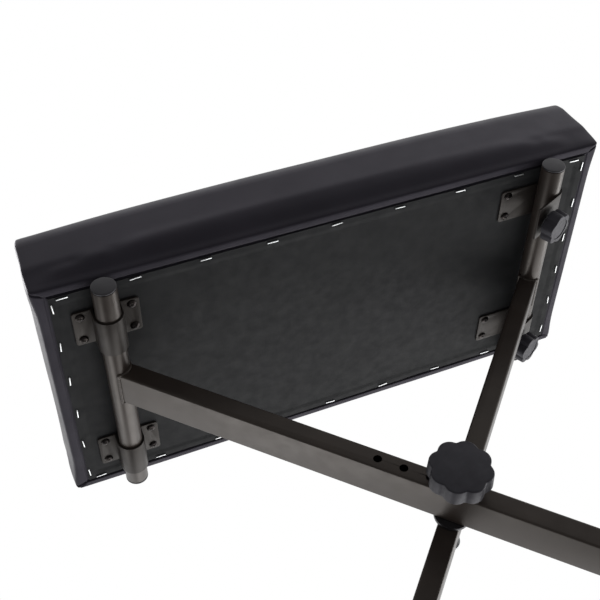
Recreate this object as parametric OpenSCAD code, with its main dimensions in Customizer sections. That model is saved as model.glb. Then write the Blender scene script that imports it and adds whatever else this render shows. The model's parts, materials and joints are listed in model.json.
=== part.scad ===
// Piano bench with a padded seat on a crossed-leg frame.
// +X runs along the seat, +Y to the back, +Z up. Millimetres.
// The origin is on the floor, under the middle of the seat.

/* [Seat] */
// Length of the padded seat
seat_l = 600; // [540:1:760]
// Width of the padded seat
seat_w = 300; // [260:1:400]
// Thickness of the padded seat, from the dust cover to the top
seat_t = 77; // [50:1:110]
// Radius of the seat's upper edges and upright corners
seat_edge_r = 14; // [6:1:22]
// Thickness of the plywood board
board_t = 12; // [9:1:18]
// Thickness of the vinyl cover
cover_t = 1.2; // [0.8:0.1:2]
// Width of the cover's fold under the board
wrap_w = 26; // [18:1:32]
// Thickness of the dust cover
lining_t = 0.6; // [0.4:0.1:1]
// Distance from the seat's edge to the dust cover's hem
lining_inset = 10; // [6:1:14]
// Radius of the dust cover's corners
lining_r = 3; // [1:0.5:8]

/* [Staples] */
// Length of a staple's crown
staple_l = 11; // [8:1:14]
// Thickness of the staple wire
staple_wire = 0.9; // [0.6:0.1:1.2]
// Length of a staple's legs
staple_leg = 8; // [5:1:10]
// Distance from the seat's edge to the staples
staple_inset = 14.5; // [12:0.5:18]
// Number of staples along each long side
staples_long = 9; // [6:1:14]
// Number of staples along each short side
staples_short = 6; // [3:1:8]

/* [Frame] */
// Diameter of the four cross tubes
tube_d = 24; // [20:1:30]
// Wall of the cross tubes
tube_wall = 1.5; // [1:0.1:2.5]
// Amount by which the cross tubes are shorter than the seat is wide
tube_short = 17; // [10:1:60]
// Distance from each end of the seat to the centre of the upper cross tube there
tube_edge = 62; // [56:1:90]
// Place of the middle of the cross tubes across the seat
tube_mid_y = -5; // [-8:1:8]
// Length of a leg between its two cross tubes' centres
leg_l = 610; // [560:1:680]
// Width of the rectangular leg tube
leg_w = 40; // [30:1:50]
// Height of the rectangular leg tube
leg_h = 20; // [14:1:20]
// Wall of the leg tube
leg_wall = 1.5; // [1:0.1:2.5]
// Distance from the upper cross tube to the hole in use
pivot_arm = 346; // [320:1:400]
// Distance between the height holes
hole_pitch = 25; // [18:1:35]
// Number of height holes, the lowest one in use
hole_count = 4; // [2:1:6]
// Distance from the seat's middle to the front face of the front leg
leg_front = 40; // [36:1:60]
// Radius of the weld beads
weld_r = 2.2; // [1.5:0.1:3]

/* [Caps and feet] */
// Thickness of an end cap's flange
cap_flange_t = 3; // [2:0.5:5]
// Length of an end cap's plug
cap_plug_l = 14; // [8:1:20]
// Wall of an end cap's plug
cap_plug_wall = 1.5; // [1:0.1:3]
// Length of a rubber foot sleeve
foot_l = 44; // [30:1:60]
// Wall of a rubber foot sleeve
foot_wall = 3; // [2:0.5:5]
// Width of the flat under a rubber foot
foot_flat_w = 20; // [14:1:26]
// Distance from the foot tube's underside to the floor
foot_rise = 5; // [4:0.5:10]

/* [Saddles] */
// Sheet thickness of the left saddles
saddle_t = 2.2; // [1.5:0.1:3]
// Width of a saddle over both ears
saddle_w = 65; // [60:1:74]
// Length of a saddle along the tube
saddle_l = 42; // [36:1:56]
// Place of the middle of the two saddles across the seat
saddle_mid_y = 2; // [-4:1:6]
// Distance from each long edge of the seat to the middle of a saddle, before the shift of both
saddle_edge = 56.5; // [50:0.5:65]
// Distance from the tube's centre to a saddle's screws
saddle_screw_x = 25; // [24:0.5:27]
// Distance between a saddle's screws along the tube
saddle_screw_pitch = 29; // [20:1:32]

/* [Hooks] */
// Sheet thickness of the right hooks
hook_t = 1.8; // [1.5:0.1:2.5]
// Distance from the tube's centre to the edge of a hook's ear
hook_ear = 48; // [46:1:54]
// Length of a hook along the tube
hook_l = 40; // [38:1:56]
// Place of the middle of the two hooks across the seat
hook_mid_y = -4; // [-6:1:4]
// Distance from each long edge of the seat to the middle of a hook, before the shift of both
hook_edge = 57; // [50:0.5:65]
// Distance from the tube's centre to a hook's screws
hook_screw_x = 40.5; // [38:0.5:42]
// Distance between a hook's screws along the tube
hook_screw_pitch = 27; // [20:1:30]
// Tilt of a hook's lower plate
hook_tilt = 23.5; // [20:0.5:28]
// Length of a hook's lower plate beyond the tube
hook_plate_l = 35; // [33:1:40]
// Radius of the rounded corners of saddles and hooks
ear_r = 3; // [1:0.5:5]

/* [Screws] */
// Diameter of the wood screws
screw_d = 4; // [3:0.5:5]
// Length of the wood screws under the head
screw_l = 13; // [9:1:14]
// Diameter of a wood screw's head
screw_head_d = 8; // [6.5:0.5:9]
// Height of a wood screw's head
screw_head_h = 2.2; // [1.6:0.1:2.6]
// Length of the cross recess in a wood screw's head
recess_l = 4.6; // [3.5:0.1:5.5]
// Width of the cross recess in a wood screw's head
recess_w = 1; // [0.6:0.1:1.4]
// Depth of the cross recess in a wood screw's head
recess_h = 1.1; // [0.6:0.1:1.4]
// Diameter of a wood screw's tip
screw_tip_d = 0.6; // [0.4:0.1:1]

/* [Clamp knobs] */
// Diameter of a clamp knob over its lobes
clamp_d = 36; // [30:1:38]
// Number of lobes on a clamp knob
clamp_lobes = 6; // [5:1:8]
// Radius of a clamp knob's lobes
clamp_lobe_r = 8; // [6:0.5:10]
// Turn of a clamp knob's first lobe
clamp_turn = 40; // [0:1:60]
// Height of a clamp knob's head
clamp_head_h = 13.5; // [10:0.5:18]
// Height of a clamp knob's collar
clamp_collar_h = 5; // [2:0.5:6]
// Diameter of a clamp knob's collar
clamp_collar_d = 17; // [13:1:20]
// Diameter of the round recess in a clamp knob's face
clamp_recess_d = 24; // [18:0.5:26]
// Depth of the round recess in a clamp knob's face
clamp_recess_h = 0.8; // [0.4:0.1:1.5]
// Length of a clamp screw inside its knob
clamp_grip_l = 12; // [8:0.5:12]
// Diameter of the clamp screws
clamp_stud_d = 6; // [5:1:6]
// Distance from the hook's tangent with the tube to the clamp screw
clamp_reach = 18.5; // [18:0.5:20]
// Shift of each clamp screw along the tube, from the middle of its hook to the back
clamp_shift = 5; // [-6:1:6]
// Thickness of the clamp nuts
clamp_nut_t = 3; // [2:0.5:3]
// Width over the flats of the clamp nuts
clamp_nut_w = 10; // [8.5:0.5:11]
// Thickness of the clamp washers
clamp_washer_t = 1.2; // [0.8:0.1:2]
// Outer diameter of the clamp washers
clamp_washer_d = 15; // [12:0.5:18]

/* [Centre knob] */
// Diameter of the centre knob over its lobes
knob_d = 59; // [50:1:70]
// Number of lobes on the centre knob
knob_lobes = 8; // [6:1:10]
// Radius of the centre knob's lobes
knob_lobe_r = 11.5; // [9:0.5:13]
// Turn of the centre knob's first lobe
knob_turn = 3.5; // [0:0.5:45]
// Height of the centre knob's head
knob_head_h = 16.5; // [12:0.5:20]
// Height of the centre knob's collar
knob_collar_h = 12.3; // [8:0.1:18]
// Diameter of the centre knob's collar
knob_collar_d = 26; // [20:1:32]
// Outer diameter of the threaded insert
insert_d = 13; // [11:1:16]
// Length of the threaded insert
insert_l = 20; // [15:1:22]
// Distance from the bolt's end to the end of the insert
bolt_end_gap = 1; // [0.5:0.5:4]
// Diameter of the pivot bolt
bolt_d = 8; // [6:1:8]
// Width over the flats of the bolt's head
bolt_head_w = 13; // [12:1:15]
// Height of the bolt's head
bolt_head_h = 5.3; // [4:0.1:7]
// Thickness of the steel washers
washer_t = 1.6; // [1:0.1:2.5]
// Outer diameter of the steel washers
washer_d = 24; // [18:1:28]
// Thickness of the spacer between the legs
spacer_t = 4; // [2:0.5:8]
// Outer diameter of the spacer between the legs
spacer_d = 34; // [24:1:38]

/* [Clearances] */
// Radial clearance of a turning or sliding round fit
run_gap = 0.06; // [0.02:0.01:0.1]
// Radial clearance of a screw in its steel hole
hole_gap = 0.3; // [0.1:0.05:0.5]
// Clearance between a fixed piece and its seat
seat_gap = 0.05; // [0.02:0.01:0.1]
// Clearance of pieces that turn face to face
face_gap = 0.2; // [0.1:0.05:0.3]
// Clearance between the right cross tube and its hooks
hook_gap = 0.3; // [0.2:0.05:0.4]

/* [Hidden] */
$fn = 72;
eps = 0.5;

tube_r = tube_d / 2;
tube_drop = tube_r + hook_gap + hook_t;
tube_pitch = seat_l - 2 * tube_edge;
tube_l = seat_w - tube_short;
saddle_pitch = seat_w - 2 * saddle_edge;
hook_pitch = seat_w - 2 * hook_edge;
half_pitch = tube_pitch / 2;
rise_up = sqrt(pivot_arm * pivot_arm - half_pitch * half_pitch);
leg_angle = atan2(rise_up, half_pitch);
low_arm = leg_l - pivot_arm;
foot_x = low_arm * cos(leg_angle);
foot_z = tube_r + foot_rise;
pivot_z = foot_z + low_arm * sin(leg_angle);
tube_z = pivot_z + rise_up;
under_z = tube_z + tube_drop;
tube_near_y = tube_mid_y - tube_l / 2;
tube_far_y = tube_mid_y + tube_l / 2;

leg_a_y = -leg_front;
leg_gap = spacer_t + face_gap;
leg_b_y = leg_a_y + leg_w + leg_gap;
leg_b_back = leg_b_y + leg_w;

board_z = lining_t + cover_t;
foam_z = board_z + board_t;
inner_l = seat_l - 2 * cover_t;
inner_w = seat_w - 2 * cover_t;
inner_r = seat_edge_r - cover_t;

near_saddle_y = saddle_mid_y - saddle_pitch / 2;
far_saddle_y = saddle_mid_y + saddle_pitch / 2;
near_hook_y = hook_mid_y - hook_pitch / 2;
far_hook_y = hook_mid_y + hook_pitch / 2;
hook_inner_r = tube_r + hook_gap;
hook_outer_r = hook_inner_r + hook_t;
clamp_back = clamp_washer_t + face_gap;
// Degrees by which the hook's bend runs into the flat plates at its ends
bend_lap = 3;
// Amount by which the bend's faces stay inside the plates' faces
bend_inset = 0.03;

knob_back_y = leg_a_y - washer_t - face_gap / 2;
bolt_head_y = leg_b_back + face_gap + washer_t;
bolt_end_y = knob_back_y - insert_l + bolt_end_gap;

steel_black = "#2b2826";
plastic_black = "#2a292d";
vinyl_black = "#232227";
cloth_black = "#242527";
bare_steel = "#b9bbbd";
rubber_black = "#1b1b1c";

// ---- shapes used by several pieces ----

// Round bar along Y, from y0 to y1
module bar_y(r, y0, y1) {
    translate([0, y0, 0])
        rotate([-90, 0, 0])
            cylinder(r = r, h = y1 - y0);
}

// Flat plate with round upright corners, centred, its underside on z = 0
module round_plate(l, w, h, r) {
    translate([-l / 2 + r, -w / 2, 0])
        cube([l - 2 * r, w, h]);
    translate([-l / 2, -w / 2 + r, 0])
        cube([l, w - 2 * r, h]);
    for (sx = [-1, 1], sy = [-1, 1])
        translate([sx * (l / 2 - r), sy * (w / 2 - r), 0])
            cylinder(r = r, h = h);
}

// Cushion block: round upright corners and round upper edges
module cushion(l, w, h, r) {
    round_plate(l, w, h - r, r);
    translate([-l / 2 + r, -w / 2 + r, 0])
        cube([l - 2 * r, w - 2 * r, h]);
    for (sy = [-1, 1])
        translate([-l / 2 + r, sy * (w / 2 - r), h - r])
            rotate([0, 90, 0])
                cylinder(r = r, h = l - 2 * r);
    for (sx = [-1, 1])
        translate([sx * (l / 2 - r), 0, h - r])
            bar_y(r, -w / 2 + r, w / 2 - r);
    for (sx = [-1, 1], sy = [-1, 1])
        translate([sx * (l / 2 - r), sy * (w / 2 - r), h - r])
            sphere(r = r);
}

// Knob head with round lobes, standing on z = 0
module lobed_head(d, h, lobes, lobe_r, turn) {
    ring_r = d / 2 - lobe_r;
    cylinder(r = ring_r, h = h);
    for (i = [0 : lobes - 1])
        translate([ring_r * cos(turn + i * 360 / lobes), ring_r * sin(turn + i * 360 / lobes), 0])
            cylinder(r = lobe_r, h = h);
}

// Ring standing on z = 0
module ring(outer_d, bore_r, h) {
    difference() {
        cylinder(d = outer_d, h = h);
        translate([0, 0, -eps])
            cylinder(r = bore_r, h = h + 2 * eps);
    }
}

// Six-sided head or nut standing on z = 0
module hexagon(w, h) {
    cylinder(d = w / cos(30), h = h, $fn = 6);
}

// Pan-head wood screw, its head hanging below z = 0 and its shank going up
module wood_screw() {
    tip_l = screw_d;
    dome_r = (screw_head_d * screw_head_d / 4 + screw_head_h * screw_head_h) / (2 * screw_head_h);
    difference() {
        intersection() {
            translate([0, 0, dome_r - screw_head_h])
                sphere(r = dome_r);
            translate([0, 0, -screw_head_h])
                cylinder(d = screw_head_d, h = screw_head_h);
        }
        for (turn = [0, 90])
            rotate([0, 0, turn])
                translate([-recess_l / 2, -recess_w / 2, -screw_head_h - eps])
                    cube([recess_l, recess_w, recess_h + eps]);
    }
    cylinder(d = screw_d, h = screw_l - tip_l);
    translate([0, 0, screw_l - tip_l])
        cylinder(d1 = screw_d, d2 = screw_tip_d, h = tip_l);
}

// Puts its children at the underside of the seat
module at_underside() {
    translate([0, 0, under_z])
        children();
}

// Puts its children at an upper cross tube: side is -1 for the left one, 1 for the right one
module at_upper_tube(side, y) {
    translate([side * half_pitch, y, tube_z])
        children();
}

// Lays its children along a leg: local X runs down the leg from its upper cross tube
module along_leg(side) {
    translate([side * half_pitch, 0, tube_z])
        mirror([side == 1 ? 1 : 0, 0, 0])
            rotate([0, leg_angle, 0])
                children();
}

// ---- seat ----

module seat_board() {
    color("#a98256")
        at_underside()
            translate([0, 0, board_z])
                round_plate(inner_l - 2 * seat_gap, inner_w - 2 * seat_gap, board_t, inner_r);
}

module foam_pad() {
    color("#d8cfa8")
        at_underside()
            translate([0, 0, foam_z])
                cushion(inner_l - 2 * seat_gap, inner_w - 2 * seat_gap,
                        seat_t - foam_z - cover_t - seat_gap, inner_r);
}

module vinyl_cover() {
    color(vinyl_black)
        at_underside()
            difference() {
                translate([0, 0, lining_t])
                    cushion(seat_l, seat_w, seat_t - lining_t, seat_edge_r);
                translate([0, 0, board_z])
                    cushion(inner_l, inner_w, seat_t - board_z - cover_t, inner_r);
                translate([-seat_l / 2 + wrap_w, -seat_w / 2 + wrap_w, 0])
                    cube([seat_l - 2 * wrap_w, seat_w - 2 * wrap_w, board_z + eps]);
            }
}

module dust_cover() {
    color(cloth_black)
        at_underside()
            round_plate(seat_l - 2 * lining_inset, seat_w - 2 * lining_inset, lining_t, lining_r);
}

// Staple with its crown along X and its legs pointing up
module staple() {
    translate([-staple_l / 2, -staple_wire / 2, -staple_wire])
        cube([staple_l, staple_wire, staple_wire]);
    for (sx = [-1, 1])
        translate([sx * (staple_l - staple_wire) / 2 - staple_wire / 2, -staple_wire / 2, 0])
            cube([staple_wire, staple_wire, staple_leg]);
}

module staples() {
    run_x = seat_l - 2 * staple_inset - 2 * staple_l;
    run_y = seat_w - 2 * staple_inset - 2 * staple_l;
    color(bare_steel)
        at_underside() {
            for (i = [0 : staples_long - 1], side = [-1, 1])
                translate([(i / (staples_long - 1) - 0.5) * run_x, side * (seat_w / 2 - staple_inset), 0])
                    staple();
            for (i = [0 : staples_short - 1], side = [-1, 1])
                translate([side * (seat_l / 2 - staple_inset), (i / (staples_short - 1) - 0.5) * run_y, 0])
                    rotate([0, 0, 90])
                        staple();
        }
}

// ---- saddles and hooks ----

// Screw places of a saddle, from its middle
function saddle_spots() = [
    for (sx = [-1, 1], sy = [-1, 1]) [sx * saddle_screw_x, sy * saddle_screw_pitch / 2]
];

// Screw places of a hook, from its middle
function hook_spots() = [
    for (sy = [-1, 1]) [-hook_screw_x, sy * hook_screw_pitch / 2]
];

module screw_holes(spots, top_z, plate_t) {
    for (spot = spots)
        translate([spot[0], spot[1], top_z - plate_t - eps])
            cylinder(r = screw_d / 2 + hole_gap, h = plate_t + 2 * eps);
}

module screw_group(side, y, spots, plate_t) {
    color(steel_black)
        at_upper_tube(side, y)
            for (spot = spots)
                translate([spot[0], spot[1], tube_drop - plate_t])
                    wood_screw();
}

module hinge_saddle(y) {
    inner_rad = tube_r + run_gap;
    outer_rad = inner_rad + saddle_t;
    color(steel_black)
        at_upper_tube(-1, y)
            difference() {
                union() {
                    bar_y(outer_rad, -saddle_l / 2, saddle_l / 2);
                    translate([-outer_rad, -saddle_l / 2, 0])
                        cube([2 * outer_rad, saddle_l, tube_drop]);
                    translate([0, 0, tube_drop - saddle_t])
                        round_plate(saddle_w, saddle_l, saddle_t, ear_r);
                }
                bar_y(inner_rad, -saddle_l, saddle_l);
                translate([-inner_rad, -saddle_l, 0])
                    cube([2 * inner_rad, 2 * saddle_l, tube_drop + eps]);
                screw_holes(saddle_spots(), tube_drop, saddle_t);
            }
}

module hinge_saddle_near() {
    hinge_saddle(near_saddle_y);
}

module hinge_saddle_far() {
    hinge_saddle(far_saddle_y);
}

module saddle_screws_near() {
    screw_group(-1, near_saddle_y, saddle_spots(), saddle_t);
}

module saddle_screws_far() {
    screw_group(-1, far_saddle_y, saddle_spots(), saddle_t);
}

// Puts its children on a hook's lower plate: local X runs up the plate to its tangent with the tube,
// local Z points out of its outer face, and the origin is at the clamp screw
module on_hook_plate(y) {
    at_upper_tube(1, y + clamp_shift)
        rotate([180, -hook_tilt, 0])
            translate([-clamp_reach, 0, hook_outer_r])
                children();
}

// Outline of the hook's outer wall, bend and lower plate, about the tube's centre
module hook_outline() {
    reach = 3 * hook_outer_r;
    start = bend_lap;
    end = hook_tilt - 90 - bend_lap;
    out = [sin(hook_tilt), -cos(hook_tilt)];
    along = [-cos(hook_tilt), -sin(hook_tilt)];
    polygon([[hook_inner_r, 0], [hook_outer_r, 0], [hook_outer_r, tube_drop], [hook_inner_r, tube_drop]]);
    intersection() {
        difference() {
            circle(r = hook_outer_r - bend_inset);
            circle(r = hook_inner_r + bend_inset);
        }
        polygon([[0, 0], reach * [cos(end), sin(end)], reach * [cos(start), sin(start)]]);
    }
    polygon([
        hook_inner_r * out,
        hook_outer_r * out,
        hook_outer_r * out + hook_plate_l * along,
        hook_inner_r * out + hook_plate_l * along
    ]);
}

module hook_bracket(y) {
    top_z = tube_drop;
    color(steel_black)
        difference() {
            union() {
                // ear and top plate, over the tube
                at_upper_tube(1, y)
                    translate([(hook_outer_r - hook_ear) / 2, 0, top_z - hook_t])
                        round_plate(hook_ear + hook_outer_r, hook_l, hook_t, ear_r);
                // outer wall, bend round the outer side of the tube, and lower plate
                at_upper_tube(1, y)
                    translate([0, hook_l / 2, 0])
                        rotate([90, 0, 0])
                            linear_extrude(height = hook_l)
                                hook_outline();
            }
            at_upper_tube(1, y)
                screw_holes(hook_spots(), top_z, hook_t);
            on_hook_plate(y)
                translate([0, 0, -hook_t - eps])
                    cylinder(r = clamp_stud_d / 2 + hole_gap, h = hook_t + 2 * eps);
        }
}

module hook_bracket_near() {
    hook_bracket(near_hook_y);
}

module hook_bracket_far() {
    hook_bracket(far_hook_y);
}

module hook_screws_near() {
    screw_group(1, near_hook_y, hook_spots(), hook_t);
}

module hook_screws_far() {
    screw_group(1, far_hook_y, hook_spots(), hook_t);
}

// ---- clamp knobs ----

module clamp_nut(y) {
    color(bare_steel)
        on_hook_plate(y)
            translate([0, 0, -hook_t - clamp_nut_t])
                difference() {
                    hexagon(clamp_nut_w, clamp_nut_t);
                    translate([0, 0, -eps])
                        cylinder(r = clamp_stud_d / 2 + run_gap, h = clamp_nut_t + 2 * eps);
                }
}

module clamp_washer(y) {
    color(bare_steel)
        on_hook_plate(y)
            translate([0, 0, face_gap / 2])
                ring(clamp_washer_d, clamp_stud_d / 2 + hole_gap, clamp_washer_t);
}

module clamp_stud(y) {
    color(bare_steel)
        on_hook_plate(y)
            translate([0, 0, -hook_t - clamp_nut_t])
                cylinder(d = clamp_stud_d, h = hook_t + clamp_nut_t + clamp_back + clamp_grip_l);
}

module clamp_knob(y) {
    color(plastic_black)
        on_hook_plate(y)
            translate([0, 0, clamp_back])
                difference() {
                    union() {
                        cylinder(d = clamp_collar_d, h = clamp_collar_h + eps);
                        translate([0, 0, clamp_collar_h])
                            lobed_head(clamp_d, clamp_head_h, clamp_lobes, clamp_lobe_r, clamp_turn);
                    }
                    translate([0, 0, -eps])
                        cylinder(r = clamp_stud_d / 2 + seat_gap, h = clamp_grip_l + seat_gap + eps);
                    translate([0, 0, clamp_collar_h + clamp_head_h - clamp_recess_h])
                        cylinder(d = clamp_recess_d, h = clamp_recess_h + eps);
                }
}

module clamp_nut_near() {
    clamp_nut(near_hook_y);
}

module clamp_nut_far() {
    clamp_nut(far_hook_y);
}

module clamp_washer_near() {
    clamp_washer(near_hook_y);
}

module clamp_washer_far() {
    clamp_washer(far_hook_y);
}

module clamp_stud_near() {
    clamp_stud(near_hook_y);
}

module clamp_stud_far() {
    clamp_stud(far_hook_y);
}

module clamp_knob_near() {
    clamp_knob(near_hook_y);
}

module clamp_knob_far() {
    clamp_knob(far_hook_y);
}

// ---- leg frames ----

// Hollow cross tube along Y, its axis through the origin
module cross_tube() {
    difference() {
        bar_y(tube_r, tube_near_y, tube_far_y);
        bar_y(tube_r - tube_wall, tube_near_y - eps, tube_far_y + eps);
    }
}

// Rectangular leg tube with coped ends and height holes; y0 is its front face
module leg(side, y0) {
    color(steel_black)
        along_leg(side)
            difference() {
                translate([0, y0, -leg_h / 2])
                    cube([leg_l, leg_w, leg_h]);
                translate([-eps, y0 + leg_wall, -leg_h / 2 + leg_wall])
                    cube([leg_l + 2 * eps, leg_w - 2 * leg_wall, leg_h - 2 * leg_wall]);
                for (end_x = [0, leg_l])
                    translate([end_x, 0, 0])
                        bar_y(tube_r + seat_gap, y0 - eps, y0 + leg_w + eps);
                for (i = [0 : hole_count - 1])
                    translate([pivot_arm - i * hole_pitch, 0, 0])
                        bar_y(bolt_d / 2 + run_gap, y0 - eps, y0 + leg_w + eps);
            }
}

// Beads round both ends of a leg: straight on its broad faces, curved on its narrow ones
module weld_beads(side, y0) {
    join_x = sqrt(tube_r * tube_r - leg_h * leg_h / 4);
    join_angle = atan2(leg_h / 2, join_x);
    color(steel_black)
        along_leg(side)
            for (end = [0, 1])
                translate([end * leg_l, 0, 0])
                    mirror([end, 0, 0])
                        difference() {
                            union() {
                                for (sz = [-1, 1])
                                    translate([join_x + weld_r / 2, 0, sz * leg_h / 2])
                                        bar_y(weld_r, y0, y0 + leg_w);
                                for (y = [y0, y0 + leg_w])
                                    translate([0, y, 0])
                                        rotate([-90, -join_angle, 0])
                                            rotate_extrude(angle = 2 * join_angle)
                                                translate([tube_r, 0])
                                                    circle(r = weld_r);
                            }
                            bar_y(tube_r, y0 - 2 * weld_r, y0 + leg_w + 2 * weld_r);
                            translate([0, y0, -leg_h / 2])
                                cube([leg_l / 2, leg_w, leg_h]);
                        }
}

module upper_tube_left() {
    color(steel_black)
        at_upper_tube(-1, 0)
            cross_tube();
}

module upper_tube_right() {
    color(steel_black)
        at_upper_tube(1, 0)
            cross_tube();
}

module foot_tube_right() {
    color(steel_black)
        translate([foot_x, 0, foot_z])
            cross_tube();
}

module foot_tube_left() {
    color(steel_black)
        translate([-foot_x, 0, foot_z])
            cross_tube();
}

module leg_a() {
    leg(-1, leg_a_y);
}

module leg_b() {
    leg(1, leg_b_y);
}

module weld_beads_a() {
    weld_beads(-1, leg_a_y);
}

module weld_beads_b() {
    weld_beads(1, leg_b_y);
}

// Plastic plug in the end of an upper cross tube; end is -1 for the near end, 1 for the far end
module end_cap(side, end) {
    color(plastic_black)
        at_upper_tube(side, tube_mid_y + end * tube_l / 2)
            mirror([0, end == -1 ? 1 : 0, 0]) {
                bar_y(tube_r, 0, cap_flange_t);
                difference() {
                    bar_y(tube_r - tube_wall - seat_gap, -cap_plug_l, eps);
                    bar_y(tube_r - tube_wall - seat_gap - cap_plug_wall, -cap_plug_l - eps, -eps);
                }
            }
}

module end_cap_left_near() {
    end_cap(-1, -1);
}

module end_cap_left_far() {
    end_cap(-1, 1);
}

module end_cap_right_near() {
    end_cap(1, -1);
}

module end_cap_right_far() {
    end_cap(1, 1);
}

// Rubber sleeve over the end of a foot tube, with a flat underneath
module rubber_foot(side, end) {
    sleeve_r = tube_r + foot_wall;
    color(rubber_black)
        translate([side * foot_x, tube_mid_y + end * tube_l / 2, foot_z])
            mirror([0, end == -1 ? 1 : 0, 0])
                difference() {
                    union() {
                        bar_y(sleeve_r, cap_flange_t - foot_l, cap_flange_t);
                        translate([-foot_flat_w / 2, cap_flange_t - foot_l, -foot_z])
                            cube([foot_flat_w, foot_l, foot_z]);
                    }
                    bar_y(tube_r + seat_gap, cap_flange_t - foot_l - eps, seat_gap);
                }
}

module rubber_foot_right_near() {
    rubber_foot(1, -1);
}

module rubber_foot_right_far() {
    rubber_foot(1, 1);
}

module rubber_foot_left_near() {
    rubber_foot(-1, -1);
}

module rubber_foot_left_far() {
    rubber_foot(-1, 1);
}

// ---- centre pivot ----

// Turns its children so that their Z runs along Y from y0 towards the front
module on_pivot(y0) {
    translate([0, y0, pivot_z])
        rotate([90, 0, 0])
            children();
}

module pivot_bolt() {
    color(bare_steel)
        on_pivot(bolt_head_y) {
            translate([0, 0, -bolt_head_h])
                hexagon(bolt_head_w, bolt_head_h);
            cylinder(d = bolt_d, h = bolt_head_y - bolt_end_y);
        }
}

module bolt_washer() {
    color(bare_steel)
        on_pivot(bolt_head_y)
            ring(washer_d, bolt_d / 2 + seat_gap, washer_t);
}

module leg_spacer() {
    color(plastic_black)
        on_pivot(leg_a_y + leg_w + spacer_t)
            ring(spacer_d, bolt_d / 2 + seat_gap, spacer_t);
}

module knob_washer() {
    color(bare_steel)
        on_pivot(leg_a_y)
            ring(washer_d, bolt_d / 2 + run_gap, washer_t);
}

module knob_insert() {
    color("#b08d3c")
        on_pivot(knob_back_y)
            ring(insert_d, bolt_d / 2 + run_gap, insert_l);
}

module centre_knob() {
    color(plastic_black)
        on_pivot(knob_back_y)
            difference() {
                union() {
                    cylinder(d = knob_collar_d, h = knob_collar_h + eps);
                    translate([0, 0, knob_collar_h])
                        lobed_head(knob_d, knob_head_h, knob_lobes, knob_lobe_r, knob_turn);
                }
                translate([0, 0, -eps])
                    cylinder(r = insert_d / 2 + seat_gap, h = insert_l + seat_gap + eps);
            }
}

seat_board();
foam_pad();
vinyl_cover();
dust_cover();
staples();
hinge_saddle_near();
hinge_saddle_far();
saddle_screws_near();
saddle_screws_far();
hook_bracket_near();
hook_bracket_far();
hook_screws_near();
hook_screws_far();
clamp_nut_near();
clamp_nut_far();
clamp_washer_near();
clamp_washer_far();
clamp_stud_near();
clamp_stud_far();
clamp_knob_near();
clamp_knob_far();
upper_tube_left();
leg_a();
foot_tube_right();
weld_beads_a();
end_cap_left_near();
end_cap_left_far();
rubber_foot_right_near();
rubber_foot_right_far();
upper_tube_right();
leg_b();
foot_tube_left();
weld_beads_b();
end_cap_right_near();
end_cap_right_far();
rubber_foot_left_near();
rubber_foot_left_far();
pivot_bolt();
bolt_washer();
leg_spacer();
knob_washer();
knob_insert();
centre_knob();
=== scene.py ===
# Piano bench: upholstered seat on a crossed steel frame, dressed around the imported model.
import json
import math
import random

import bpy
from mathutils import Matrix, Vector, noise


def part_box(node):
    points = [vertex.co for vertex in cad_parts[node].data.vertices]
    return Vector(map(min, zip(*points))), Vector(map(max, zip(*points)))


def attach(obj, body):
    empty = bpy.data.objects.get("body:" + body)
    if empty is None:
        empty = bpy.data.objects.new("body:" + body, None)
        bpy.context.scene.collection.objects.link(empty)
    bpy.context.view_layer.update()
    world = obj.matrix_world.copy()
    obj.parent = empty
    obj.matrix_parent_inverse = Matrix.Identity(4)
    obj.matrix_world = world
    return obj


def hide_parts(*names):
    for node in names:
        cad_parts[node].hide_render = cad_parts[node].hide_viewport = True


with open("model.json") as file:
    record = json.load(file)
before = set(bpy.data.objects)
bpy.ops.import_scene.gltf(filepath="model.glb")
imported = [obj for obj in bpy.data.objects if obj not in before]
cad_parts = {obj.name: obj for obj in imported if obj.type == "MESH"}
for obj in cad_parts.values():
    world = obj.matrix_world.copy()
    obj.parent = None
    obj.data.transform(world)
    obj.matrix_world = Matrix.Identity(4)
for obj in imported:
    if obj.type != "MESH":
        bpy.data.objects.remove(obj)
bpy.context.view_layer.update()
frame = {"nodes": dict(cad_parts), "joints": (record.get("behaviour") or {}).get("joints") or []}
nodes = frame["nodes"]
boxes = {name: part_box(name) for name in nodes}  # lowest and highest corner of each solid
random.seed(7)  # staples and screws then stand the same way each time
print("frame loaded:", len(nodes), "solids")

mm = 0.001
acrossBench = Vector((0, 1, 0))  # the way that tubes, bolt and knob run

# places that several pieces share, all taken from the frame
seatLow, seatHigh = boxes["vinyl_cover"]
underZ = boxes["dust_cover"][0].z
tubeLow, tubeHigh = boxes["upper_tube_left"]
tubeRadius = (tubeHigh.z - tubeLow.z) / 2

camera = {
    "place": (-0.3330, -0.7829, -0.2187),  # low, in front and to the left, looking up
    "turn": (135.385, 22.662, -0.348),  # degrees
    "lens": 61.02,  # millimetres, as the sensor
    "sensor": 36.0,
}
cameraData = bpy.data.cameras.new("benchCamera")
cameraData.lens = camera["lens"]
cameraData.sensor_width = camera["sensor"]
cameraData.clip_start = 0.01
cameraData.clip_end = 50
cameraObject = bpy.data.objects.new("benchCamera", cameraData)
cameraObject.location = camera["place"]
cameraObject.rotation_euler = [math.radians(a) for a in camera["turn"]]
bpy.context.scene.collection.objects.link(cameraObject)
bpy.context.scene.camera = cameraObject
bpy.context.scene.view_settings.view_transform = "Standard"
print("camera ready")


def middle(node):
    low, high = boxes[node]
    return (low + high) / 2


def clamped(value, low=0, high=1):
    return min(max(value, low), high)


def deselect():
    active = bpy.context.view_layer.objects.active
    if active and active.mode != "OBJECT":
        bpy.ops.object.mode_set(mode="OBJECT")
    bpy.ops.object.select_all(action="DESELECT")


def pick(*pieces):
    deselect()
    for piece in pieces:
        piece.select_set(True)
    bpy.context.view_layer.objects.active = pieces[-1]


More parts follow.
